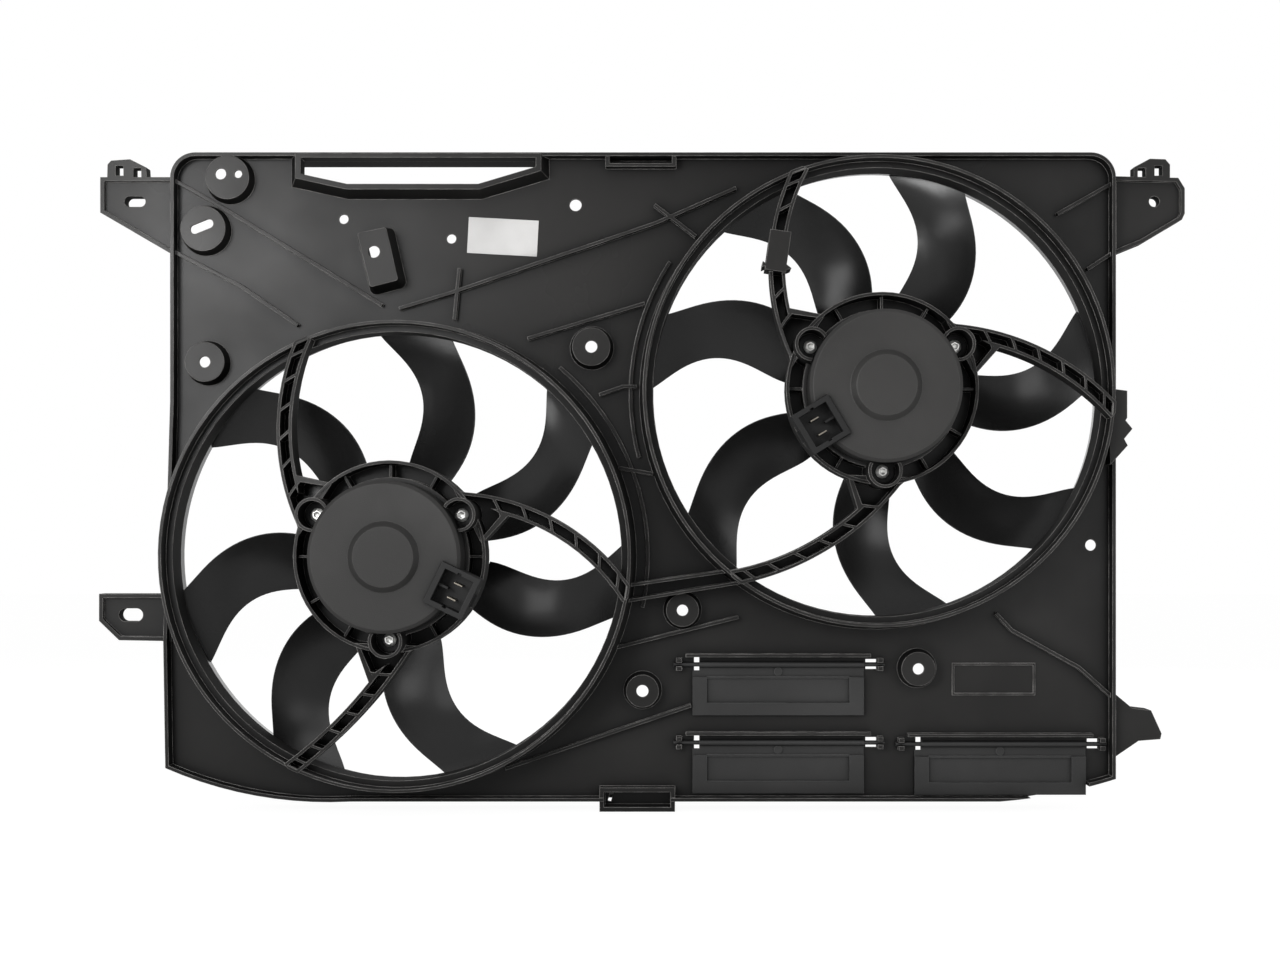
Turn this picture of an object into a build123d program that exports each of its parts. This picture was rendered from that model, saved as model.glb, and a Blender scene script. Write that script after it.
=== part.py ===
from build123d import *
from math import cos, sin, radians, hypot
import os

os.makedirs("parts", exist_ok=True)

# Auxiliary fan assembly: two motors and two fans in one moulded shroud with three ram-air flaps.
# Millimetres. Seen from the engine side +X is right and +Z is up; +Y points at the radiator.
# The origin is midway between the two upper mounting holes, on the engine-side face of the panel.

# Panel and rim
panel_thick = 2.5
panel_top = 34.2
panel_bottom = -442.6
panel_left = -348.2
panel_right = 346.3
corner_r = 18.5
rim_wall = 2.6
rim_front = -12.0
rim_back = 34.0
tab_x = 377.2

# Barrels, as radius and depth
left_axis = (-179.6, -262.3)
right_axis = (169.7, -143.0)
opening_r = 163.3
lip_front = -26.0
barrel_front = -40.0
barrel_front_r = opening_r + 7.1
skirt_r = opening_r + 10.1
barrel_wall = 2.2

# Motor ring and stator arms
ring_r = 68.3
ring_wall = 2.2
ring_front = -64.6
ring_back = -37.0
arm_width = 11.0
arm_wall = 2.2
arm_end_r = barrel_front_r + 1.1
screw_circle = 59.0
screw_angles = (150, 30, 270)
seat_y = -59.8
pilot_r = 2.45
pilot_end = -43.0

# Motor
can_r = 53.4
can_wall = 2.2
can_back = -93.5
can_open = -38.0
bump_r = 25.0
bump_height = 4.0
flange_thick = 2.4
shaft_r = 4.0
shaft_fit = 0.03

# Fan
hub_r = 62.0
hub_front = -10.0
hub_back = 25.0
band_out_r = skirt_r - barrel_wall - 1.7
band_in_r = band_out_r - 3
band_front = 1.5
band_back = 22.5
blade_angles = (0, 62.9, 109.5, 155.8, 210.0, 267.8, 313.2)
left_turn = -68.7
right_turn = 13.0

# Flaps
flap_width = 126.4
flap_drop = 37.5
pin_r = 1.6
pin_fit = 0.08
hinge_y = -3.4
flap_places = {
    "flap_upper": (98.7, -342.3),
    "flap_lower_left": (98.7, -400.0),
    "flap_lower_right": (262.6, -401.1),
}


# A plane across the depth at y: sketches read X and Z, and an extrusion runs toward the engine.
def level(y):
    return Plane.XZ.offset(-y)


# A plane through a fan axis: sketches read radius and depth.
def section(axis=(0, 0)):
    return Plane(origin=(axis[0], 0, axis[1]))


def axis_line(axis=(0, 0)):
    return Axis((axis[0], 0, axis[1]), (0, 1, 0))


def polar(r, angle):
    return (r * cos(radians(angle)), r * sin(radians(angle)))


def save(part, name):
    part.label = name
    export_step(part, f"parts/{name}.step")


# Panel outline, shared by the panel and its rim
with BuildSketch() as outline:
    with BuildLine():
        Polyline(
            (panel_left, -147.7),
            (panel_left, panel_top),
            (panel_right, panel_top),
            (panel_right, -426.0),
        )
        ThreePointArc((panel_right, -426.0), (307.7, -436.0), (261.1, panel_bottom))
        Line((261.1, panel_bottom), (-216.0, panel_bottom))
        ThreePointArc((-216.0, panel_bottom), (-289.4, -437.5), (-351.8, -418.0))
        Polyline((-351.8, -418.0), (-353.3, -323.9), (panel_left, -147.7))
    make_face()
    fillet(outline.vertices().sort_by(Axis.Y)[-2:], corner_r)

with BuildSketch() as window:
    with BuildLine():
        Polyline(
            (-252.1, 30.0),
            (-79.6, 30.0),
            (-79.6, 23.3),
            (-121.8, 10.7),
            (-218.0, 10.7),
            (-252.1, 18.1),
            close=True,
        )
    make_face()


# Tapered frame round the window
with BuildPart() as window_frame:
    with BuildSketch(level(0)):
        offset(window.sketch, amount=9, kind=Kind.INTERSECTION)
    extrude(amount=14, taper=19.7)
    with BuildSketch(level(5)):
        offset(outline.sketch, amount=-1)
    extrude(amount=30, mode=Mode.INTERSECT)


# One curved arm from a screw boss to the barrel, with the flare that ties it to the motor ring
def arm(boss, middle, end, width, trim):
    with BuildSketch() as shape:
        with BuildLine():
            ThreePointArc(polar(63, boss + 10), polar(*middle), polar(arm_end_r, end))
        trace(line_width=width)
        neck = polar(94 - 3 * trim, boss - 9)
        with BuildLine():
            Polyline(
                polar(66, boss + 17 - trim),
                polar(66, boss - 22 + trim),
                neck,
                close=True,
            )
        make_face()
    return shape.sketch


# Motor ring and its three arms, about the fan axis
def carrier(arms):
    edge = barrel_front_r + 0.6
    with BuildPart() as spider:
        with BuildSketch(level(-20)):
            for boss, middle, end in arms:
                add(arm(boss, middle, end, arm_width, 0))
        extrude(amount=60)
        with BuildSketch(section()):
            with BuildLine():
                Polyline((62, ring_front), (edge, barrel_front), (edge, -25), (62, -37), close=True)
            make_face()
        revolve(axis=axis_line(), mode=Mode.INTERSECT)
    with BuildPart() as channels:
        with BuildSketch(level(-20)):
            for boss, middle, end in arms:
                add(arm(boss, middle, end, arm_width - 2 * arm_wall, 3))
            for r in (84, 100, 116, 132, 148, 162):
                with BuildSketch(mode=Mode.PRIVATE) as web:
                    Circle(r + 0.9)
                    Circle(r - 0.9, mode=Mode.SUBTRACT)
                add(web.sketch, mode=Mode.SUBTRACT)
        extrude(amount=60)
        with BuildSketch(section()):
            with BuildLine():
                Polyline((67, -75), (edge - 2, -50), (edge - 2, -28), (67, -39.5), close=True)
            make_face()
        revolve(axis=axis_line(), mode=Mode.INTERSECT)
    with BuildPart() as ring:
        add(spider.part)
        add(channels.part, mode=Mode.SUBTRACT)
        with BuildSketch(section()):
            with BuildLine():
                Polyline(
                    (ring_r, ring_front),
                    (ring_r, ring_back),
                    (can_r + 0.9, ring_back),
                    (can_r + 0.9, seat_y),
                    (can_r + 0.9 + ring_wall, seat_y),
                    (can_r + 0.9 + ring_wall, ring_back - 2.4),
                    (ring_r - ring_wall, ring_back - 2.4),
                    (ring_r - ring_wall, ring_front),
                    close=True,
                )
            make_face()
        revolve(axis=axis_line())
        # Radial webs between the two walls of the ring
        with BuildSketch(level(ring_back)):
            for angle in (0, 60, 90, 120, 180, 210, 240, 300, 330):
                with Locations(Location((*polar(60.5, angle), 0), angle)):
                    Rectangle(10, 1.8)
        extrude(amount=ring_back - seat_y - 2)
        # Screw bosses: a post with a pilot hole inside a deep cup that is open toward the motor
        spots = [polar(screw_circle, angle) for angle in screw_angles]
        with BuildSketch(level(ring_back)):
            with Locations(*spots):
                Circle(12)
        extrude(amount=ring_back - seat_y)
        with BuildSketch(level(seat_y)):
            with Locations(*spots):
                Circle(12)
        extrude(amount=26)
        with BuildSketch(level(seat_y)):
            with Locations(*spots):
                Circle(9.9)
        extrude(amount=30, mode=Mode.SUBTRACT)
        with BuildSketch(level(pilot_end)):
            with Locations(*spots):
                Circle(pilot_r)
        extrude(amount=30, mode=Mode.SUBTRACT)
        with BuildSketch(level(0)):
            Circle(can_r + 0.9)
        extrude(amount=120, mode=Mode.SUBTRACT)
        with BuildSketch(level(seat_y)):
            Circle(can_r + 3.6)
        extrude(amount=4, mode=Mode.SUBTRACT)
    return ring.part


left_carrier = carrier([
    (150, (120, 130), 112.2),
    (30, (124.7, 7.6), -10),
    (270, (120, 254.6), 243.7),
])
right_carrier = carrier([
    (150, (120, 128), 109),
    (30, (120, 11), -5.2),
    (270, (128.9, 245.4), 231.8),
])


# Screw bosses on the panel: centre, radius and holes, each hole as X, Z and radius
bosses = [
    ((-306.3, 15.9), 16.0, [(-311.2, 18.4, 4.1), (-298.3, 18.3, 2.9)]),
    ((-324.2, -21.7), 16.5, []),
    ((-322.9, -119.7), 14.5, [(-322.9, -119.7, 4.1)]),
    ((-39.0, -108.5), 14.0, [(-39.0, -108.5, 4.4)]),
    ((28.0, -302.1), 12.0, [(28.0, -302.1, 4.1)]),
    ((-1.4, -361.4), 12.0, [(-1.4, -361.4, 4.4)]),
    ((201.3, -345.2), 12.5, [(201.3, -345.2, 4.1)]),
]
boss_height = 12.0
boss_wall = 2.5
boss_draft = 9.5

with BuildPart() as shroud:
    with BuildSketch(level(panel_thick)):
        add(outline.sketch)
        for axis in (left_axis, right_axis):
            with Locations(axis):
                Circle(skirt_r - 1, mode=Mode.SUBTRACT)
    extrude(amount=panel_thick)
    with BuildSketch(level(rim_back)):
        add(outline.sketch)
        offset(outline.sketch, amount=-rim_wall, mode=Mode.SUBTRACT)
        for axis in (left_axis, right_axis):
            with Locations(axis):
                Circle(skirt_r - 1, mode=Mode.SUBTRACT)
    extrude(amount=rim_back - rim_front)

    # Barrels: a lip round the opening, a bell toward the engine and a skirt round the fan band
    for axis in (left_axis, right_axis):
        with BuildSketch(section(axis)):
            with BuildLine():
                Polyline(
                    (opening_r, lip_front),
                    (barrel_front_r - barrel_wall, lip_front),
                    (barrel_front_r - barrel_wall, barrel_front),
                    (barrel_front_r, barrel_front),
                    (skirt_r, 0),
                    (skirt_r, rim_back),
                    (skirt_r - barrel_wall, rim_back),
                    (skirt_r - barrel_wall, 0),
                    (barrel_front_r - 1, lip_front + barrel_wall),
                    (opening_r + barrel_wall, lip_front + barrel_wall),
                    (opening_r + barrel_wall, -1),
                    (opening_r, -1),
                    close=True,
                )
            make_face()
        revolve(axis=axis_line(axis))

    # Window with its deep frame
    add(window_frame.part)
    with BuildSketch(level(20)):
        add(window.sketch)
    extrude(amount=40, mode=Mode.SUBTRACT)

    # Stiffening ribs on the engine side
    with BuildSketch(level(0)):
        for points in (
            [(-347.5, 15.2), (-320.9, 0.4), (-193.6, -77.3)],
            [(-347.5, -37.4), (-297.9, -63.3), (-255.8, -92.1)],
            [(-181.0, -79.6), (-142.5, -68.1), (-76.7, -45.5), (8.4, -16.7), (67.6, 9.2)],
            [(-86.3, -101.8), (0.3, -75.9)],
            [(-20.4, -329.7), (69.1, -307.5)],
            [(-102.6, -419.2), (34.3, -372.6)],
            [(-136.6, -50.0), (-140.3, -88.0)],
            [(7.5, -3.2), (38.0, -26.5)],
            [(259.3, -304.5), (271.1, -317.1), (320.7, -344.5), (345.5, -366.6)],
            [(304.4, -10.0), (344.0, 12.2)],
            [(326.6, -50.7), (345.5, -38.5)],
            [(-19.0, -197.2), (6.2, -201.7)],
            [(-33.4, -143.2), (-16.0, -137.3), (-5.6, -137.3)],
        ):
            with BuildLine():
                Polyline(*points)
            trace(line_width=2.4)
        for axis in (left_axis, right_axis):
            with Locations(axis):
                Circle(skirt_r - 2, mode=Mode.SUBTRACT)
    extrude(amount=6)

    # Low ridges that follow the barrels where they come close
    with BuildSketch(level(0)):
        for axis, r, start, sweep in ((left_axis, 182, -12, 62), (right_axis, 180, 147, 48)):
            with BuildLine():
                CenterArc(axis, r, start, sweep)
            trace(line_width=2.4)
    extrude(amount=4)

    # Channel that carries the right fan's lower arm on to the left barrel
    with BuildSketch(level(0)):
        for points in ([(-20.0, -296.2), (78.0, -280.2)], [(-20.0, -284.8), (72.0, -271.6)]):
            with BuildLine():
                Polyline(*points)
            trace(line_width=arm_wall)
        for axis in (left_axis, right_axis):
            with Locations(axis):
                Circle(skirt_r - 3, mode=Mode.SUBTRACT)
    extrude(amount=24)

    # Screw bosses: round posts, hollow from behind, with a through hole
    for place, r, holes in bosses:
        with BuildSketch(level(0)):
            with Locations(place):
                Circle(r + 2)
        extrude(amount=boss_height, taper=boss_draft)
        with BuildSketch(level(panel_thick)):
            with Locations(place):
                Circle(r - boss_wall)
        extrude(amount=boss_height + panel_thick - boss_wall, mode=Mode.SUBTRACT)
        for x, z, hole_r in holes:
            with BuildSketch(level(panel_thick)):
                with Locations((x, z)):
                    Circle(hole_r)
            extrude(amount=boss_height + panel_thick, mode=Mode.SUBTRACT)
    with BuildSketch(level(panel_thick)):
        with Locations(Location((-325.0, -20.2, 0), 22)):
            SlotOverall(17.8, 6.8)
        with Locations((-222.7, -13.0), (-143.0, -27.5)):
            Circle(3.5)
        with Locations((-51.1, -2.6)):
            Circle(4.4)
        with Locations((330.2, -254.3)):
            Circle(4.1)
    extrude(amount=20, mode=Mode.SUBTRACT)

    # Bracket block, hollow from behind
    with BuildSketch(level(0)) as block:
        with BuildLine():
            Polyline((-209.3, -26.6), (-188.2, -22.3), (-179.4, -60.9), (-199.8, -66.1), close=True)
        make_face()
        offset(amount=3.1, kind=Kind.INTERSECTION)
        fillet(block.vertices(), 5)
    extrude(amount=22, taper=8)
    with BuildSketch(level(panel_thick)):
        with BuildLine():
            Polyline((-205.5, -29.9), (-190.3, -26.7), (-183.2, -58.1), (-197.4, -61.7), close=True)
        make_face()
    extrude(amount=22, mode=Mode.SUBTRACT)
    with BuildSketch(level(panel_thick)):
        with Locations((-197.2, -40.2)):
            Circle(4.4)
    extrude(amount=30, mode=Mode.SUBTRACT)

    # Flap windows, hinge eyes and the lip above each flap
    for x, z in flap_places.values():
        half = flap_width / 2
        with BuildSketch(level(panel_thick)):
            with Locations((x, z - 17.5)):
                Rectangle(flap_width - 18, 29)
            with Locations((x - half + 3.0, z + 0.5)):
                Rectangle(3.8, 14)
            with Locations((x + half + 5.5, z)):
                Rectangle(8, 7.4)
        extrude(amount=panel_thick, mode=Mode.SUBTRACT)
        with BuildSketch(level(0)):
            with Locations((x, z - 17)):
                Rectangle(flap_width + 2, 44)
        extrude(amount=20, mode=Mode.SUBTRACT)
        with BuildSketch(level(0)):
            with Locations((x, z + 6.6)):
                Rectangle(flap_width + 10, 2.2)
        extrude(amount=7)
        with BuildSketch(level(0)):
            with Locations((x - half - 10, z)):
                Rectangle(4, 9)
            with Locations((x + half + 12, z)):
                Rectangle(4, 9)
        extrude(amount=-hinge_y + 4)
        with BuildSketch(Plane.YZ.offset(x - half - 15)):
            with Locations((hinge_y, z)):
                Circle(pin_r + pin_fit)
            with Locations((hinge_y - 4, z)):
                Rectangle(8, 2.6)
        extrude(amount=flap_width + 30, mode=Mode.SUBTRACT)

    # Upper tabs with their rims
    with BuildSketch(level(panel_thick)) as tabs:
        with BuildLine():
            Polyline((-401.8, 17.4), (panel_left + 1, 17.4), (panel_left + 1, -40.6), (-401.8, -8.8), close=True)
        make_face()
        with BuildLine():
            Polyline(
                (panel_right - 1, 18.1),
                (394.0, 16.9),
                (398.8, 9.2),
                (398.8, -9.5),
                (396.7, -14.0),
                (368.1, -31.0),
                (panel_right - 1, -40.3),
                close=True,
            )
        make_face()
        with BuildLine():
            Polyline(
                (-349, -290.2),
                (-402.7, -290.2),
                (-402.7, -310.2),
                (-387.9, -324.5),
                (-349, -325.2),
                close=True,
            )
        make_face()
    extrude(amount=panel_thick)
    with BuildSketch(level(12)):
        add(tabs.sketch)
        offset(tabs.sketch, amount=-3, mode=Mode.SUBTRACT)
    extrude(amount=16)
    with BuildSketch(level(12)):
        with Locations((-tab_x, 0)):
            SlotOverall(22, 14)
        with Locations((tab_x, 0)):
            Circle(11)
        with Locations((-380.2, -305.9)):
            SlotOverall(24, 16)
    extrude(amount=12)
    with BuildSketch(level(12)):
        with Locations((-tab_x, 0)):
            SlotOverall(15.6, 7.8)
        with Locations((tab_x, 0)):
            Circle(3.9)
        with Locations((-380.2, -305.9)):
            SlotOverall(17.8, 9.6)
    extrude(amount=12, mode=Mode.SUBTRACT)

    # Snap clips on the upper tabs
    with BuildSketch(level(8)):
        with BuildLine():
            Polyline(
                (-396.7, 16.0),
                (-396.4, 26.7),
                (-393.8, 29.6),
                (-379.8, 30.6),
                (-367.9, 24.6),
                (-367.4, 16.0),
                close=True,
            )
        make_face()
        with BuildLine():
            Polyline(
                (361.1, 16.0),
                (361.1, 24.6),
                (373.0, 31.0),
                (384.5, 30.6),
                (387.9, 26.7),
                (387.9, 16.0),
                close=True,
            )
        make_face()
        with Locations((-387.6, 22.2), (-374.4, 20.4), (379.4, 22.2), (367.0, 20.4)):
            Rectangle(5.8, 7.4, mode=Mode.SUBTRACT)
    extrude(amount=12)

    # Lower right foot
    with BuildSketch(level(16)):
        with BuildLine():
            Polyline(
                (panel_right - 1, -362.5),
                (359.5, -374.4),
                (373.5, -376.1),
                (381.2, -393.1),
                (380.3, -397.3),
                (364.2, -398.6),
                (panel_right - 1, -411.5),
                close=True,
            )
        make_face()
    extrude(amount=22)
    with BuildSketch(level(14)):
        with BuildLine():
            Polyline((349, -371), (359, -377.5), (371, -379), (376.5, -391), (362, -395.5), (349, -401), close=True)
        make_face()
    extrude(amount=17, mode=Mode.SUBTRACT)

    # Top and bottom clip pockets
    with BuildSketch(level(10)):
        with Locations((-5.3, -441.4)):
            Rectangle(55.5, 17.8)
        with Locations((-2.7, panel_top - 5)):
            Rectangle(52, 10)
    extrude(amount=20)
    with BuildSketch(level(8)):
        with Locations((-5.3, -441.4)):
            Rectangle(49, 11)
        with Locations((-2.7, panel_top - rim_wall - 2.5)):
            Rectangle(46, 5)
    extrude(amount=20, mode=Mode.SUBTRACT)
    with BuildSketch(level(12)):
        with Locations(Location((-25.6, -441.8, 0), -15)):
            Rectangle(2.4, 6)
    extrude(amount=6, mode=Mode.SUBTRACT)

    # Bracket with two barbs beside the right barrel
    with BuildSketch(level(-14)):
        with BuildLine():
            Polyline(
                (336.0, -140.5),
                (350.2, -142.3),
                (350.2, -161.9),
                (349.0, -163.8),
                (354.0, -169.9),
                (348.0, -177.2),
                (350.6, -182.0),
                (338.0, -196.0),
                close=True,
            )
        make_face()
        with Locations(right_axis):
            Circle(skirt_r - 3.5, mode=Mode.SUBTRACT)
    extrude(amount=18)

    # Clip block on the right fan's upper arm
    with BuildSketch(level(-34)):
        with Locations(Location((96.1, -44.5, 0), -8)):
            Rectangle(15, 29)
            with Locations((-8.5, -11), (8.5, -11)):
                RegularPolygon(2.6, 3)
    extrude(amount=24)

    # Frame for a part mark, left bare
    with BuildSketch(level(0)):
        with Locations((258.2, -353.4)):
            Rectangle(61.4, 23.7)
            Rectangle(58.4, 20.7, mode=Mode.SUBTRACT)
    extrude(amount=0.8)

    # Motor rings and arms
    with Locations((left_axis[0], 0, left_axis[1])):
        add(left_carrier)
    with Locations((right_axis[0], 0, right_axis[1])):
        add(right_carrier)

save(shroud.part, "shroud")


# Blank sticker on the panel
with BuildPart() as label:
    with BuildSketch(level(0)):
        with Locations(Location((-104.9, -26.1, 0), -3.1)):
            Rectangle(51.8, 26.6)
    extrude(amount=0.3)
save(label.part, "label")

# Ram-air flap: a stiffened panel that hangs on a round bar, with a pin at each end
with BuildPart() as flap:
    half = flap_width / 2
    with BuildSketch(level(-0.4)):
        with Locations((0, -flap_drop / 2 - 2.25)):
            Rectangle(flap_width, flap_drop - 4.5)
        with Locations((2.5, -2.5)):
            Rectangle(flap_width - 5, 5)
    extrude(amount=1.6)
    with BuildSketch(level(-1.9)):
        with Locations((0, -9.6 / 2 - flap_drop / 2)):
            Rectangle(flap_width, flap_drop - 9.6)
        with Locations((0, -19)):
            Rectangle(flap_width - 21, 19, mode=Mode.SUBTRACT)
    extrude(amount=2.2)
    with BuildSketch(level(-1.9)):
        with Locations((0, -9.6)):
            Rectangle(flap_width - 21, 1.6)
        with Locations((0, -5.4)):
            Circle(3)
    extrude(amount=1.2)
    with BuildSketch(Plane.YZ.offset(-half - 14)):
        with Locations((hinge_y, 0)):
            Circle(pin_r)
    extrude(amount=flap_width + 29)
    with BuildSketch(Plane.YZ.offset(-half + 5)):
        with Locations((hinge_y, 0)):
            Circle(2.3)
    extrude(amount=flap_width - 5)
for name, (x, z) in flap_places.items():
    save(flap.part.moved(Location((x, 0, z))), name)


# One blade station: a cambered section on a plane square to the radius
def blade_plane(r, angle, y):
    c, s = polar(1, angle)
    return Plane(origin=(r * c, y, r * s), x_dir=(-s, 0, c), z_dir=(c, 0, s))


# Radius, sweep angle, width round the axis, height along the axis, depth of the middle, camber, thickness
stations = [
    (60.6, -14.5, 35.0, 30.0, 9.0, 3.2, 3.4),
    (84.0, -16.4, 41.9, 30.0, 9.5, 3.6, 3.2),
    (108.0, -15.2, 43.2, 28.5, 10.0, 3.6, 3.0),
    (133.0, -9.8, 45.8, 26.0, 10.8, 3.2, 2.8),
    (150.0, -4.2, 50.4, 22.0, 11.4, 2.8, 2.6),
    (band_in_r + 0.5, 0.5, 56.2, 19.0, 12.0, 2.4, 2.6),
]
edge_half = 0.5

with BuildPart() as blade:
    for r, sweep_angle, wide, tall, y, camber, thick in stations:
        reach = hypot(wide, tall)
        nx, ny = tall / reach, wide / reach
        upper = (nx * (thick / 2 - camber), ny * (thick / 2 - camber))
        lower = (nx * (-thick / 2 - camber), ny * (-thick / 2 - camber))
        trail_up = (-wide / 2 + nx * edge_half, tall / 2 + ny * edge_half)
        trail_low = (-wide / 2 - nx * edge_half, tall / 2 - ny * edge_half)
        lead_up = (wide / 2 + nx * edge_half, -tall / 2 + ny * edge_half)
        lead_low = (wide / 2 - nx * edge_half, -tall / 2 - ny * edge_half)
        with BuildSketch(blade_plane(r, sweep_angle, y)):
            with BuildLine():
                ThreePointArc(trail_up, upper, lead_up)
                Line(lead_up, lead_low)
                ThreePointArc(lead_low, lower, trail_low)
                Line(trail_low, trail_up)
            make_face()
    loft()

# Fan: hub cup with inner ribs, seven unevenly spaced blades and the outer band
with BuildPart() as fan:
    with BuildSketch(section()):
        with BuildLine():
            Polyline(
                (shaft_r + shaft_fit, -16),
                (10, -16),
                (10, hub_front),
                (hub_r - 3, hub_front),
                (hub_r, hub_front + 3),
                (hub_r, hub_back),
                (hub_r - 2.6, hub_back),
                (hub_r - 2.6, hub_front + 3),
                (10, hub_front + 3),
                (10, 6),
                (shaft_r + shaft_fit, 6),
                close=True,
            )
        make_face()
        with Locations(((band_in_r + band_out_r) / 2, (band_front + band_back) / 2)):
            Rectangle(band_out_r - band_in_r, band_back - band_front)
    revolve(axis=axis_line())
    with BuildSketch(level(16)):
        with PolarLocations(34.5, 7):
            Rectangle(52, 2)
    extrude(amount=20)
    for angle in blade_angles:
        with Locations(Location((0, 0, 0), (0, -angle, 0))):
            add(blade.part)
    with BuildSketch(level(20)):
        Circle(shaft_r + shaft_fit)
    extrude(amount=60, mode=Mode.SUBTRACT)

# Retaining clip in the shaft groove
with BuildPart() as fan_clip:
    with BuildSketch(level(7.3)):
        Circle(8)
        Circle(3.5, mode=Mode.SUBTRACT)
        with Locations((5, 0)):
            Rectangle(10, 3, mode=Mode.SUBTRACT)
    extrude(amount=1.1)

with BuildPart() as shaft:
    with BuildSketch(section()):
        with BuildLine():
            Polyline(
                (0, -94),
                (shaft_r, -94),
                (shaft_r, 6.1),
                (3.45, 6.1),
                (3.45, 7.4),
                (shaft_r, 7.4),
                (shaft_r, 9.5),
                (0, 9.5),
                close=True,
            )
        make_face()
    revolve(axis=axis_line())

# Armature: a slotted core, the winding that fills its slots, and the commutator
with BuildPart() as armature_core:
    with BuildSketch(level(-48)):
        Circle(42)
        Circle(shaft_r + shaft_fit, mode=Mode.SUBTRACT)
        with PolarLocations(30, 12):
            Rectangle(18, 5, mode=Mode.SUBTRACT)
        with PolarLocations(41, 12):
            Rectangle(6, 2, mode=Mode.SUBTRACT)
    extrude(amount=16)

with BuildPart() as winding:
    for y, thick in ((-43.6, 4.3), (-64.1, 4.3)):
        with BuildSketch(level(y)):
            Circle(39)
            Circle(20, mode=Mode.SUBTRACT)
        extrude(amount=thick)
    with BuildSketch(level(-45)):
        with PolarLocations(30, 12):
            Rectangle(17.6, 4.6)
    extrude(amount=21)

with BuildPart() as commutator:
    with BuildSketch(level(-73)):
        Circle(12)
        Circle(shaft_r + shaft_fit, mode=Mode.SUBTRACT)
        with PolarLocations(12, 12):
            Rectangle(2.4, 0.6, mode=Mode.SUBTRACT)
    extrude(amount=13)

# Motor case: a deep cup with a bearing bump, and a pocket for the connector
def make_can(angle):
    with BuildPart() as hollow:
        with BuildSketch(section()):
            with BuildLine():
                Polyline((0, -90.8), (can_r - can_wall, -90.8), (can_r - can_wall, can_open), (0, can_open), close=True)
            make_face()
        revolve(axis=axis_line())
        with BuildSketch(level(-69.3)):
            with Locations(Location((*polar(51.2, angle), 0), angle)):
                Rectangle(30, 35.8)
        extrude(amount=30, mode=Mode.SUBTRACT)
    with BuildPart() as can:
        with BuildSketch(section()):
            with BuildLine():
                Polyline(
                    (0, can_back - bump_height),
                    (bump_r - 4, can_back - bump_height),
                    (bump_r, can_back),
                    (can_r - 2.5, can_back),
                    (can_r, can_back + 2.5),
                    (can_r, can_open),
                    (0, can_open),
                    close=True,
                )
            make_face()
        revolve(axis=axis_line())
        add(hollow.part, mode=Mode.SUBTRACT)
        with BuildSketch(level(-90)):
            Circle(9)
        extrude(amount=6, mode=Mode.SUBTRACT)
        with BuildSketch(level(-71.5)):
            with Locations(Location((*polar(53.4, angle), 0), angle)):
                Rectangle(30, 31.4)
        extrude(amount=30, mode=Mode.SUBTRACT)
    return can.part


# Mounting flange with three ears
with BuildPart() as motor_flange:
    with BuildSketch(level(seat_y - 0.05)):
        Circle(can_r + 2.8)
        with PolarLocations(screw_circle, 3, start_angle=30):
            Circle(8.5)
        Circle(can_r + 0.1, mode=Mode.SUBTRACT)
        with PolarLocations(screw_circle, 3, start_angle=30):
            Circle(2.7, mode=Mode.SUBTRACT)
    extrude(amount=flange_thick)

with BuildPart() as motor_screws:
    head_y = seat_y - 0.1 - flange_thick
    with BuildSketch(level(-46)):
        with PolarLocations(screw_circle, 3, start_angle=30):
            Circle(2.4)
    extrude(amount=-46 - head_y)
    with BuildSketch(level(head_y)):
        with PolarLocations(screw_circle, 3, start_angle=30):
            Circle(4.8)
    extrude(amount=4)
    with BuildSketch(level(head_y - 1.6)):
        with PolarLocations(screw_circle, 3, start_angle=30):
            RegularPolygon(2.1, 6)
    extrude(amount=4, mode=Mode.SUBTRACT)

# Front cover with its bearing seat
with BuildPart() as end_cap:
    with BuildSketch(section()):
        with BuildLine():
            Polyline(
                (4.6, -34.5),
                (10.5, -34.5),
                (12, -35.6),
                (can_r - 0.2, -35.6),
                (can_r - 0.2, -37.95),
                (can_r - can_wall - 0.2, -37.95),
                (can_r - can_wall - 0.2, -40.5),
                (can_r - can_wall - 2.4, -40.5),
                (can_r - can_wall - 2.4, -37.95),
                (9.2, -37.95),
                (9.2, -43),
                (7.03, -43),
                (7.03, -36),
                (4.6, -36),
                close=True,
            )
        make_face()
    revolve(axis=axis_line())
    with BuildSketch(level(-30)):
        with PolarLocations(30, 6):
            Circle(6)
    extrude(amount=12, mode=Mode.SUBTRACT)

with BuildPart() as bearing_front:
    with BuildSketch(level(-36.1)):
        Circle(7)
        Circle(shaft_r + shaft_fit, mode=Mode.SUBTRACT)
    extrude(amount=6.8)

with BuildPart() as bearing_rear:
    with BuildSketch(level(-88.5)):
        Circle(8.97)
        Circle(shaft_r + shaft_fit, mode=Mode.SUBTRACT)
    extrude(amount=7.4)

with BuildPart() as magnet:
    with BuildSketch(level(-43)):
        Circle(can_r - can_wall - 0.05)
        Circle(43.2, mode=Mode.SUBTRACT)
        with BuildLine():
            Polyline((0, 0), (80, 30), (80, -80), (-80, -80), (-80, 30), close=True)
        make_face(mode=Mode.SUBTRACT)
    extrude(amount=23)

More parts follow.
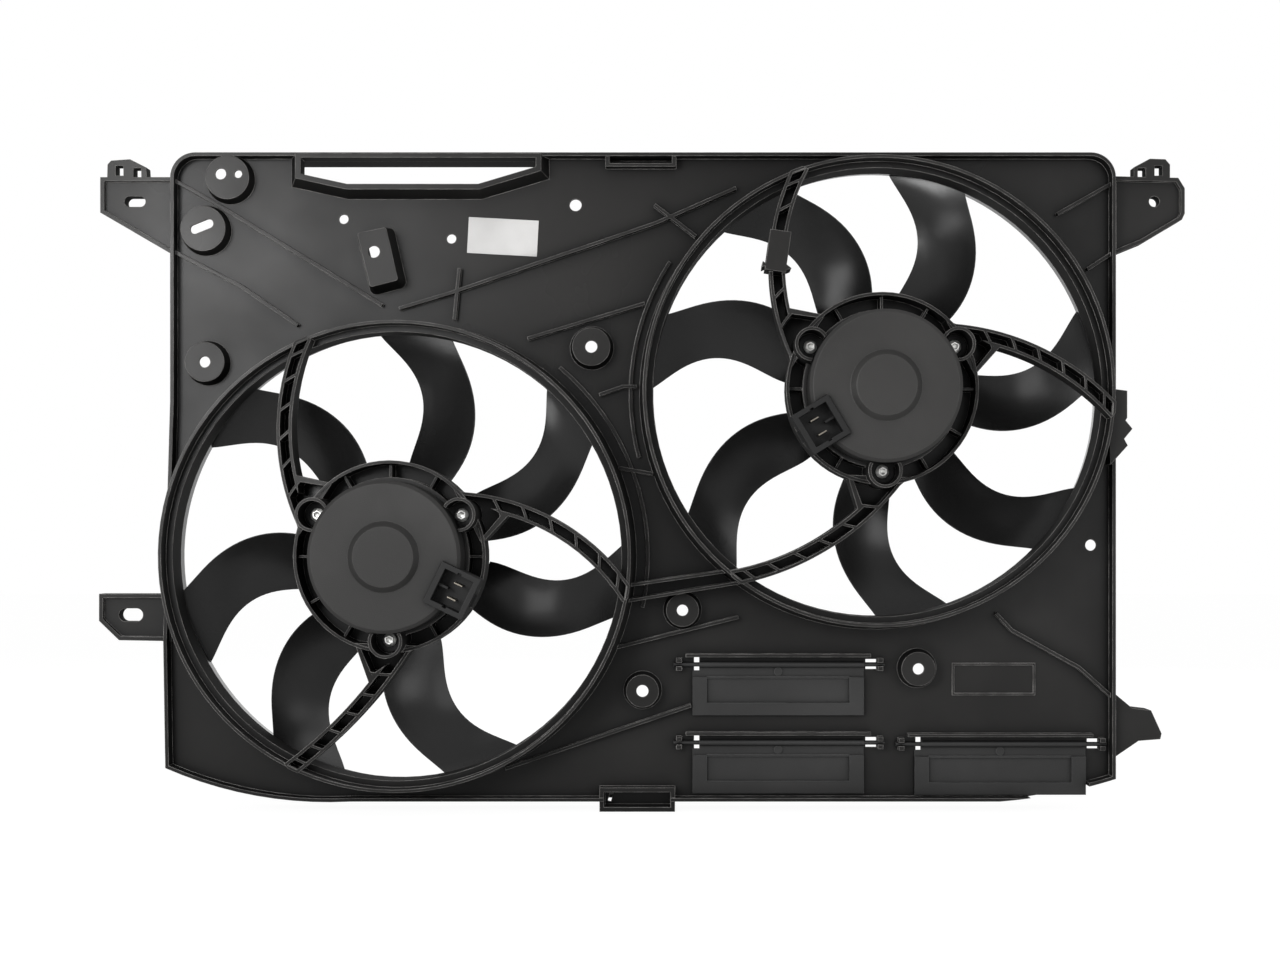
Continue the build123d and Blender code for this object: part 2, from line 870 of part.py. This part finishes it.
# Brush card: a plate on two posts, with a guide for each brush
with BuildPart() as brush_card:
    with BuildSketch(level(-70.2)):
        Circle(34)
        Circle(14, mode=Mode.SUBTRACT)
    extrude(amount=2.2)
    with BuildSketch(level(-72)):
        with Locations((0, 28), (0, -28)):
            Circle(3.2)
        with PolarLocations(23, 2):
            Rectangle(18, 10.4)
    extrude(amount=15)
    with BuildSketch(level(-75)):
        with PolarLocations(20, 2):
            Rectangle(20, 6.4, mode=Mode.ADD)
    extrude(amount=15, mode=Mode.SUBTRACT)
    with BuildSketch(level(-72)):
        with Locations((0, 28), (0, -28)):
            Circle(3.2)
    extrude(amount=18.7)

with BuildPart() as brush:
    with BuildSketch(level(-75.2)):
        with Locations((17.4, 0)):
            Rectangle(9.6, 6)
    extrude(amount=8)
    with BuildSketch(level(-75.2)):
        Circle(12.25)
    extrude(amount=8, mode=Mode.SUBTRACT)

with BuildPart() as spring:
    with BuildSketch(level(-76)):
        with BuildLine():
            Polyline((22.5, -2.4), (24.8, 2.2), (27.1, -2.2), (29.4, 2.4))
        trace(line_width=0.4)
    extrude(amount=6)


# Two-way connector receptacle, drawn along +X, with its blades
with BuildPart() as connector:
    with BuildSketch(level(-71.6)):
        with Locations((53.4, 0)):
            Rectangle(29.6, 31)
    extrude(amount=26)
    with BuildSketch(level(-80)):
        with Locations((53.4, 0)):
            Rectangle(22, 24)
            Rectangle(3, 26.4)
    extrude(amount=20, mode=Mode.SUBTRACT)
    with BuildSketch(level(-80)):
        with Locations((46, 0)):
            Rectangle(7, 1.6)
    extrude(amount=12)
    with BuildSketch(level(-86)):
        with Locations((69.2, 0)):
            Rectangle(2.4, 9)
    extrude(amount=5)
    with BuildSketch(level(-70)):
        with Locations((55, 5.5), (55, -5.5)):
            Rectangle(6.5, 1.0)
    extrude(amount=12, mode=Mode.SUBTRACT)

with BuildPart() as terminal:
    with BuildSketch(level(-71.8)):
        with Locations((55, 5.5)):
            Rectangle(6.3, 0.8)
    extrude(amount=21)


# Both motors share their parts; the fan turns about Y and the connector sits at its own angle
def turn(part, angle):
    return part.moved(Location((0, 0, 0), (0, -angle, 0)))


for side, axis, start, connector_angle in (
    ("left", left_axis, left_turn, -26),
    ("right", right_axis, right_turn, 211),
):
    place = Location((axis[0], 0, axis[1]))
    pieces = {
        "fan": turn(fan.part, start),
        "fan_clip": fan_clip.part,
        "shaft": shaft.part,
        "armature_core": armature_core.part,
        "winding": winding.part,
        "commutator": commutator.part,
        "motor_can": make_can(connector_angle),
        "motor_flange": motor_flange.part,
        "motor_screws": motor_screws.part,
        "end_cap": end_cap.part,
        "bearing_front": bearing_front.part,
        "bearing_rear": bearing_rear.part,
        "magnet_upper": magnet.part,
        "magnet_lower": turn(magnet.part, 180),
        "brush_card": brush_card.part,
        "brush_a": brush.part,
        "brush_b": turn(brush.part, 180),
        "spring_a": spring.part,
        "spring_b": turn(spring.part, 180),
        "connector": turn(connector.part, connector_angle),
        "terminal_a": turn(terminal.part, connector_angle),
        "terminal_b": turn(terminal.part.moved(Location((0, 0, -11))), connector_angle),
    }
    for name, piece in pieces.items():
        save(piece.moved(place), f"{side}_{name}")
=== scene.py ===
import math

import bpy
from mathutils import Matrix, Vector


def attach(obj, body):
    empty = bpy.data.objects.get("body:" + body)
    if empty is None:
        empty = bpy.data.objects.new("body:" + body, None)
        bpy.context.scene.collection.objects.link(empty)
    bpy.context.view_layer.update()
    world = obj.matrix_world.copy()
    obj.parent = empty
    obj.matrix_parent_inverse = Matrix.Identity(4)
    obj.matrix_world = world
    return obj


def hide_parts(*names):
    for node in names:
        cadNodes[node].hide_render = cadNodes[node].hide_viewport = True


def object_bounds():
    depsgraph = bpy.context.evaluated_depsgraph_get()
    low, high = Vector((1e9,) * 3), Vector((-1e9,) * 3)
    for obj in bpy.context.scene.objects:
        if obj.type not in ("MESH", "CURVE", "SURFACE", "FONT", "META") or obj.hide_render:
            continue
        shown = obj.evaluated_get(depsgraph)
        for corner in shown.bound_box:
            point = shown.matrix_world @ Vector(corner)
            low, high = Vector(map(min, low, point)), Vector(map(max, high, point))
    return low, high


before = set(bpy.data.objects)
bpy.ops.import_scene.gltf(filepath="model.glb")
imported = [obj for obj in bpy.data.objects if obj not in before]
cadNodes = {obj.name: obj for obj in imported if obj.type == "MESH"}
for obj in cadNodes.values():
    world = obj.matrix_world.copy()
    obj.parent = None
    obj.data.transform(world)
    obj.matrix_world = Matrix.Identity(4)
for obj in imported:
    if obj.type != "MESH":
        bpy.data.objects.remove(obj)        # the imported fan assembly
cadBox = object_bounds()
bpy.ops.object.select_all(action="DESELECT")
print("frame loaded:", len(cadNodes), "nodes")

# Camera: square on to the panel, a metre and a half in front of it
cameraSet = {
    "place": (0.0284, -1.5, -0.2505),
    "lensMm": 57.0,
    "shift": (-0.0336, 0.0469),
}

# Studio: a soft light at the upper left and a weaker one on the right; three low ones, left, right
# and above, which glance off the pitched blades; and one behind
lampSet = {
    "keyLight": {"place": (-0.6, -1.2, 0.04), "size": 0.42, "power": 11.0},
    "leftGlance": {"place": (-1.3, -0.75, -0.25), "size": 0.45, "power": 3.6},
    "fillLight": {"place": (0.78, -1.4, -0.1), "size": 0.8, "power": 4.2},
    "rightGlance": {"place": (1.3, -0.75, -0.25), "size": 0.45, "power": 2.6},
    "topGlance": {"place": (0.0, -0.75, 1.05), "size": 0.45, "power": 2.0},
    "backLight": {"place": (0.3, 1.3, 0.5), "size": 1.4, "power": 6.0},
}
studioSet = {
    "aim": (0.0, 0.0, -0.2),
    "floorHalf": 6.0,
    "floorColor": (0.9, 0.9, 0.89, 1),
    "floorRough": 0.9,
    "floorLift": 0.85,               # share of plain white over the lit paper
    "floorGlow": 1.11,
    "ambient": 0.3,                  # world strength on the object
}


def startMaterial(name):
    material = bpy.data.materials.new(name)
    material.use_nodes = True
    tree = material.node_tree
    return material, tree, tree.nodes["Principled BSDF"]


def addNode(tree, kind, **values):
    node = tree.nodes.new(kind)
    for key, value in values.items():
        setattr(node, key, value)
    return node


def objectNoise(tree, scale, detail, rough=0.5, stretch=(1, 1, 1)):
    # Noise in Object coordinates, stretched by a Mapping node
    coords = addNode(tree, "ShaderNodeTexCoord")
    mapping = addNode(tree, "ShaderNodeMapping")
    mapping.inputs["Scale"].default_value = stretch
    noise = addNode(tree, "ShaderNodeTexNoise")
    noise.inputs["Scale"].default_value = scale
    noise.inputs["Detail"].default_value = detail
    noise.inputs["Roughness"].default_value = rough
    tree.links.new(coords.outputs["Object"], mapping.inputs["Vector"])
    tree.links.new(mapping.outputs["Vector"], noise.inputs["Vector"])
    return noise.outputs["Fac"]


def mapRange(tree, value, fromMin, fromMax, toMin, toMax):
    node = addNode(tree, "ShaderNodeMapRange")
    limits = {"From Min": fromMin, "From Max": fromMax, "To Min": toMin, "To Max": toMax}
    for key, number in limits.items():
        node.inputs[key].default_value = number
    tree.links.new(value, node.inputs["Value"])
    return node.outputs["Result"]


def mixColor(tree, factor, first, second):
    node = addNode(tree, "ShaderNodeMix", data_type="RGBA")
    tree.links.new(factor, node.inputs["Factor"])
    for socket, color in (("A", first), ("B", second)):
        target = [s for s in node.inputs if s.name == socket and s.type == "RGBA"][0]
        if isinstance(color, tuple):
            target.default_value = color
        else:
            tree.links.new(color, target)
    return [s for s in node.outputs if s.type == "RGBA"][0]


def times(tree, first, second):
    node = addNode(tree, "ShaderNodeMath", operation="MULTIPLY")
    tree.links.new(first, node.inputs[0])
    if isinstance(second, float):
        node.inputs[1].default_value = second
    else:
        tree.links.new(second, node.inputs[1])
    return node.outputs[0]


def grey(value, warm=0.0):
    return (value * (1 + warm), value, value * (1 - warm), 1)


# What all the plastics share. Scales are per metre, reaches and radii in metres, tones 0 to 1
mouldSet = {
    "cloud": {"scale": 7.0, "detail": 4.0, "rough": 0.55},     # faint light and dark patches
    "cloudRange": (0.35, 0.68),
    "cloudTone": (0.72, 1.3),        # darkest and lightest patch, times the tone
    "cloudGloss": (0.3, 0.7),
    "glossSpread": 0.07,
    "fine": {"scale": 1400.0, "detail": 2.0},                  # the mould's etched grain
    "fineDepth": 0.0002,
    "highlightNoise": {"scale": 90.0, "detail": 3.0},                    # breaks up the painted highlight on edges
    "highlightNoiseRange": (0.35, 0.6),
    "highlightNoiseShare": (0.35, 0.9),
    "edgeSamples": 6,
    "edgeRange": (0.99, 0.8),
    "deepReach": 0.06,               # shade between the arms and in the barrels
    "lineReach": 0.011,              # the thin painted shade line beside ribs and bosses
    # painted shade in corners: its darkest share, the occlusion range it maps, and its colour
    "paintedShadeDarkest": 0.1,
    "paintedShadeRange": (0.25, 0.95),
    "paintedShadeTone": 0.002,
    "wallRange": (0.05, 0.45),
    "paintedWallShade": 0.2,                 # painted shade on a wall along the depth, times the tone
}


def edgeMask(tree, radius):
    # 1 on sharp edges and 0 on flats, from the rounded normal against the true one
    bevel = addNode(tree, "ShaderNodeBevel", samples=mouldSet["edgeSamples"])
    bevel.inputs["Radius"].default_value = radius
    geometry = addNode(tree, "ShaderNodeNewGeometry")
    dot = addNode(tree, "ShaderNodeVectorMath", operation="DOT_PRODUCT")
    tree.links.new(bevel.outputs["Normal"], dot.inputs[0])
    tree.links.new(geometry.outputs["Normal"], dot.inputs[1])
    mask = mapRange(tree, dot.outputs["Value"], *mouldSet["edgeRange"], 0.0, 1.0)
    return mask, bevel.outputs["Normal"]


def paintedCreviceShade(tree, reach):
    # Painted shade: 1 in the open, down to the darkest share in corners and behind ribs
    occlusion = addNode(tree, "ShaderNodeAmbientOcclusion", samples=mouldSet["edgeSamples"])
    occlusion.inputs["Distance"].default_value = reach
    return mapRange(tree, occlusion.outputs["AO"], *mouldSet["paintedShadeRange"], mouldSet["paintedShadeDarkest"], 1.0)


def depthWall(tree, amount):
    # amount on walls that run along the depth, 0 on faces that look to the front or back; used for
    # roughness and painted shade
    coords = addNode(tree, "ShaderNodeTexCoord")
    facing = addNode(tree, "ShaderNodeSeparateXYZ")
    tree.links.new(coords.outputs["Normal"], facing.inputs["Vector"])
    side = addNode(tree, "ShaderNodeMath", operation="ABSOLUTE")
    tree.links.new(facing.outputs["Y"], side.inputs[0])
    return mapRange(tree, side.outputs[0], *mouldSet["wallRange"], amount, 0.0)


def plastic(name, tone, warm, rough, grain, edgeHighlightTone, edgeRadius, shine, wallRoughAndShade):
    material, tree, shader = startMaterial(name)
    shader.inputs["Specular IOR Level"].default_value = shine
    cloud = objectNoise(tree, **mouldSet["cloud"])
    paintedEdgeHighlight, roundNormal = edgeMask(tree, edgeRadius)
    dark, light = (grey(tone * share, warm) for share in mouldSet["cloudTone"])
    flat = mixColor(tree, mapRange(tree, cloud, *mouldSet["cloudRange"], 0.0, 1.0), dark, light)
    # Painted shade: corners, the gaps between the arms, the barrels and the lines beside ribs are mixed
    # toward a near-black colour
    paintedShade = times(tree, paintedCreviceShade(tree, mouldSet["deepReach"]), paintedCreviceShade(tree, mouldSet["lineReach"]))
    base = mixColor(tree, paintedShade, grey(mouldSet["paintedShadeTone"]), flat)
    highlightNoise = objectNoise(tree, **mouldSet["highlightNoise"])
    patchy = mapRange(tree, highlightNoise, *mouldSet["highlightNoiseRange"], *mouldSet["highlightNoiseShare"])
    # Walls along the depth are mould-textured and rougher than the faces; their colour is painted darker, a
    # painted shade
    wall = depthWall(tree, wallRoughAndShade)
    face = mixColor(tree, wall, base, grey(tone * mouldSet["paintedWallShade"], warm))
    # Sharp edges are painted lighter in patches with the edge tone: a painted highlight
    edged = mixColor(tree, times(tree, paintedEdgeHighlight, patchy), face, grey(edgeHighlightTone, warm))
    tree.links.new(edged, shader.inputs["Base Color"])
    skin = addNode(tree, "ShaderNodeMath", operation="ADD", use_clamp=True)
    spread = mouldSet["glossSpread"]
    gloss = mapRange(tree, cloud, *mouldSet["cloudGloss"], rough + spread, rough - spread)
    tree.links.new(gloss, skin.inputs[0])
    tree.links.new(wall, skin.inputs[1])
    tree.links.new(skin.outputs[0], shader.inputs["Roughness"])
    bump = addNode(tree, "ShaderNodeBump")
    bump.inputs["Strength"].default_value = grain
    bump.inputs["Distance"].default_value = mouldSet["fineDepth"]
    tree.links.new(objectNoise(tree, **mouldSet["fine"]), bump.inputs["Height"])
    tree.links.new(roundNormal, bump.inputs["Normal"])
    tree.links.new(bump.outputs["Normal"], shader.inputs["Normal"])
    return material


# What all the metals share
stainSet = {
    "stain": {"scale": 60.0, "detail": 3.0, "rough": 0.6},
    "stainRange": (0.35, 0.7),
    "darkShare": 0.7,
    "glossRange": (0.3, 0.7),
    "glossSpread": (-0.06, 0.08),
    "fine": {"scale": 900.0, "detail": 2.0},
    "fineDepth": 0.0001,
}


def metal(name, color, rough, grain, brushed=(1, 1, 1), metallic=1.0):
    material, tree, shader = startMaterial(name)
    shader.inputs["Metallic"].default_value = metallic
    stain = objectNoise(tree, stretch=brushed, **stainSet["stain"])
    dark = tuple(c * stainSet["darkShare"] for c in color) + (1,)
    patches = mapRange(tree, stain, *stainSet["stainRange"], 0.0, 1.0)
    tree.links.new(mixColor(tree, patches, dark, color + (1,)), shader.inputs["Base Color"])
    smoother, rougher = (rough + spread for spread in stainSet["glossSpread"])
    gloss = mapRange(tree, stain, *stainSet["glossRange"], smoother, rougher)
    tree.links.new(gloss, shader.inputs["Roughness"])
    bump = addNode(tree, "ShaderNodeBump")
    bump.inputs["Strength"].default_value = grain
    bump.inputs["Distance"].default_value = stainSet["fineDepth"]
    tree.links.new(objectNoise(tree, **stainSet["fine"]), bump.inputs["Height"])
    tree.links.new(bump.outputs["Normal"], shader.inputs["Normal"])
    return material


# Each finish: tone and edge tone as linear grey, the edge tone being a painted highlight on sharp edges;
# warm as a share of red over blue, edge radius in metres; the wall value adds roughness and painted shade
# on walls along the depth
plasticSet = {
    "shroudPlastic": {"tone": 0.017, "warm": 0.03, "rough": 0.32, "grain": 0.14, "edgeHighlightTone": 0.32,
                      "edgeRadius": 0.0009, "shine": 0.13, "wallRoughAndShade": 0.6},
    "fanPlastic": {"tone": 0.011, "warm": 0.0, "rough": 0.24, "grain": 0.10, "edgeHighlightTone": 0.03,
                   "edgeRadius": 0.0006, "shine": 0.26, "wallRoughAndShade": 0.0},
    "flapPlastic": {"tone": 0.028, "warm": 0.0, "rough": 0.46, "grain": 0.3, "edgeHighlightTone": 0.1,
                    "edgeRadius": 0.0006, "shine": 0.2, "wallRoughAndShade": 0.6},
    "motorPaint": {"tone": 0.023, "warm": 0.03, "rough": 0.5, "grain": 0.5, "edgeHighlightTone": 0.08,
                   "edgeRadius": 0.0012, "shine": 0.25, "wallRoughAndShade": 0.6},
    "connectorPlastic": {"tone": 0.006, "warm": 0.0, "rough": 0.42, "grain": 0.2, "edgeHighlightTone": 0.04,
                         "edgeRadius": 0.0005, "shine": 0.22, "wallRoughAndShade": 0.6},
    "cardPlastic": {"tone": 0.12, "warm": 0.25, "rough": 0.55, "grain": 0.3, "edgeHighlightTone": 0.2,
                    "edgeRadius": 0.0005, "shine": 0.22, "wallRoughAndShade": 0.6},
    "labelFilm": {"tone": 0.52, "warm": 0.01, "rough": 0.5, "grain": 0.08, "edgeHighlightTone": 0.52,
                  "edgeRadius": 0.0002, "shine": 0.22, "wallRoughAndShade": 0.6},
}
metalSet = {
    "zincSteel": {"color": (0.66, 0.66, 0.64), "rough": 0.34, "grain": 0.3},
    "coreSteel": {"color": (0.42, 0.42, 0.43), "rough": 0.42, "grain": 0.2, "brushed": (1, 60, 1)},
    "copperWire": {"color": (0.72, 0.33, 0.16), "rough": 0.35, "grain": 0.8, "brushed": (1, 20, 1)},
    "tinnedBrass": {"color": (0.22, 0.2, 0.17), "rough": 0.45, "grain": 0.2},
    "bronze": {"color": (0.5, 0.35, 0.2), "rough": 0.45, "grain": 0.4},
    "ferrite": {"color": (0.1, 0.1, 0.105), "rough": 0.6, "grain": 0.5, "metallic": 0.3},
    "carbon": {"color": (0.05, 0.05, 0.05), "rough": 0.5, "grain": 0.4, "metallic": 0.2},
}
finishes = {name: plastic(name, **values) for name, values in plasticSet.items()}
finishes.update({name: metal(name, **values) for name, values in metalSet.items()})
print("finishes made:", len(finishes))

# The finish of each carried-over node, by the end of its name
finishOf = {
    "shroud": "shroudPlastic", "label": "labelFilm", "fan": "fanPlastic", "fan_clip": "zincSteel",
    "shaft": "zincSteel", "armature_core": "coreSteel", "winding": "copperWire",
    "commutator": "tinnedBrass", "motor_can": "motorPaint", "motor_flange": "motorPaint",
    "motor_screws": "zincSteel", "end_cap": "motorPaint", "bearing_front": "bronze",
    "bearing_rear": "bronze", "magnet_upper": "ferrite", "magnet_lower": "ferrite",
    "brush_card": "cardPlastic", "brush_a": "carbon", "brush_b": "carbon",
    "spring_a": "zincSteel", "spring_b": "zincSteel", "connector": "connectorPlastic",
    "terminal_a": "tinnedBrass", "terminal_b": "tinnedBrass",
}
for name, node in cadNodes.items():
    short = name.removeprefix("left_").removeprefix("right_")
    finish = "flapPlastic" if name.startswith("flap") else finishOf[short]
    node.data.materials.clear()
    node.data.materials.append(finishes[finish])
print("finishes given to the nodes")


# Motor screws: a washer flange, a hex with a socket in it, and a plain shank, three to a motor
screwSet = {
    "circle": 0.059,
    "angles": (30, 150, 270),
    "seatY": -0.0623,
    "flangeSides": 40,
    "flangeRadius": 0.0048,
    "flangeTall": 0.0013,
    "flangeStep": 0.0006,
    "flangeRise": 0.0004,
    "hexRadius": 0.0038,
    "hexTall": 0.0026,
    "socketInset": 0.0014,
    "socketDeep": 0.0017,
    "shankSides": 24,
    "shankRadius": 0.0024,
    "shankSunk": 0.0002,             # how far the shank starts inside the flange
    "shankEnd": -0.046,
    "round": 0.00025,
    "smoothBelow": 35,
    "axes": {"left": (-0.1796, -0.2623), "right": (0.1697, -0.1430)},
}


def selectFront(obj):
    # Only the face that looks toward the camera side; the primitive's own +Z points there
    bpy.ops.mesh.select_mode(type="FACE")
    bpy.ops.mesh.select_all(action="DESELECT")
    bpy.ops.object.mode_set(mode="OBJECT")
    for face in obj.data.polygons:
        face.select = face.normal.z > 0.9
    bpy.ops.object.mode_set(mode="EDIT")


def addRod(sides, radius, front, back):
    # A rod along the depth, on the line x = 0, z = 0
    bpy.ops.mesh.primitive_cylinder_add(vertices=sides, radius=radius, depth=back - front,
                                        location=(0, (front + back) / 2, 0),
                                        rotation=(math.radians(90), 0, 0))
    return bpy.context.object


def pushFront(obj, inset, distance):
    bpy.ops.object.mode_set(mode="EDIT")
    selectFront(obj)
    bpy.ops.mesh.inset(thickness=inset)
    bpy.ops.mesh.extrude_region_move(TRANSFORM_OT_translate={"value": (0, distance, 0)})
    bpy.ops.object.mode_set(mode="OBJECT")


def joinAll(objects):
    bpy.ops.object.select_all(action="DESELECT")
    for obj in objects:
        obj.select_set(True)
    bpy.context.view_layer.objects.active = objects[0]
    bpy.ops.object.join()
    bpy.ops.object.transform_apply(location=True, rotation=True, scale=True)
    return bpy.context.object


def makeScrew():
    seat = screwSet["seatY"]
    flangeFront = seat - screwSet["flangeTall"]
    flange = addRod(screwSet["flangeSides"], screwSet["flangeRadius"], flangeFront, seat)
    pushFront(flange, screwSet["flangeStep"], -screwSet["flangeRise"])
    hexagon = addRod(6, screwSet["hexRadius"], flangeFront - screwSet["hexTall"], flangeFront)
    pushFront(hexagon, screwSet["socketInset"], screwSet["socketDeep"])
    shank = addRod(screwSet["shankSides"], screwSet["shankRadius"], seat - screwSet["shankSunk"],
                   screwSet["shankEnd"])
    screw = joinAll([flange, hexagon, shank])
    rounding = screw.modifiers.new("rounding", "BEVEL")
    rounding.width, rounding.segments, rounding.limit_method = screwSet["round"], 2, "ANGLE"
    bpy.ops.object.modifier_apply(modifier="rounding")
    bpy.ops.object.shade_smooth_by_angle(angle=math.radians(screwSet["smoothBelow"]))
    screw.data.materials.clear()
    screw.data.materials.append(finishes["zincSteel"])
    return screw


def placeScrews(screw, side):
    axisX, axisZ = screwSet["axes"][side]
    copies = []
    for angle in screwSet["angles"]:
        copy = screw.copy()
        copy.data = screw.data.copy()
        bpy.context.scene.collection.objects.link(copy)
        copy.location = (axisX + screwSet["circle"] * math.cos(math.radians(angle)), 0,
                         axisZ + screwSet["circle"] * math.sin(math.radians(angle)))
        copies.append(copy)
    screws = joinAll(copies)
    screws.name = side + "Screws"
    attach(screws, "shroud_body")
    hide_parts(side + "_motor_screws")
    bpy.ops.object.select_all(action="DESELECT")


oneScrew = makeScrew()
for side in screwSet["axes"]:
    placeScrews(oneScrew, side)
bpy.data.objects.remove(oneScrew)
print("screws made")


# Floor, lamps, world and camera
def backdropRays(tree):
    # 1 for the rays that show the plain white background: straight, mirrored or through glass
    ray = addNode(tree, "ShaderNodeLightPath")
    direct = addNode(tree, "ShaderNodeMath", operation="MAXIMUM")
    tree.links.new(ray.outputs["Is Camera Ray"], direct.inputs[0])
    tree.links.new(ray.outputs["Is Glossy Ray"], direct.inputs[1])
    seen = addNode(tree, "ShaderNodeMath", operation="MAXIMUM")
    tree.links.new(direct.outputs[0], seen.inputs[0])
    tree.links.new(ray.outputs["Is Transmission Ray"], seen.inputs[1])
    return seen.outputs[0]


def makeFloor():
    bpy.ops.mesh.primitive_plane_add(size=2 * studioSet["floorHalf"], location=(0, 0, cadBox[0][2]))
    floor = bpy.context.object
    floor.name = "studioFloor"
    material, tree, shader = startMaterial("floorPaper")
    shader.inputs["Base Color"].default_value = studioSet["floorColor"]
    shader.inputs["Roughness"].default_value = studioSet["floorRough"]
    glow = addNode(tree, "ShaderNodeEmission")
    glow.inputs["Strength"].default_value = studioSet["floorGlow"]
    mix = addNode(tree, "ShaderNodeMixShader")
    tree.links.new(times(tree, backdropRays(tree), studioSet["floorLift"]), mix.inputs["Fac"])
    tree.links.new(shader.outputs["BSDF"], mix.inputs[1])
    tree.links.new(glow.outputs["Emission"], mix.inputs[2])
    tree.links.new(mix.outputs["Shader"], tree.nodes["Material Output"].inputs["Surface"])
    floor.data.materials.append(material)


def makeLamps():
    for name, values in lampSet.items():
        lamp = bpy.data.lights.new(name, "AREA")
        lamp.size = values["size"]
        lamp.energy = values["power"]
        holder = bpy.data.objects.new(name, lamp)
        bpy.context.scene.collection.objects.link(holder)
        holder.location = values["place"]
        aim = Vector(studioSet["aim"]) - Vector(values["place"])
        holder.rotation_euler = aim.to_track_quat("-Z", "Y").to_euler()


def makeWorld():
    world = bpy.data.worlds.new("studioWorld")
    world.use_nodes = True
    tree = world.node_tree
    background = tree.nodes["Background"]
    background.inputs["Color"].default_value = (1, 1, 1, 1)
    tree.links.new(mapRange(tree, backdropRays(tree), 0.0, 1.0, studioSet["ambient"], 1.0),
                   background.inputs["Strength"])
    bpy.context.scene.world = world


def makeCamera():
    camera = bpy.data.cameras.new("photoCamera")
    camera.lens = cameraSet["lensMm"]
    camera.shift_x, camera.shift_y = cameraSet["shift"]
    holder = bpy.data.objects.new("photoCamera", camera)
    bpy.context.scene.collection.objects.link(holder)
    holder.location = cameraSet["place"]
    holder.rotation_euler = (math.radians(90), 0, 0)
    bpy.context.scene.camera = holder


makeFloor()
makeLamps()
makeWorld()
makeCamera()
bpy.context.scene.view_settings.view_transform = "Standard"
print("studio made")
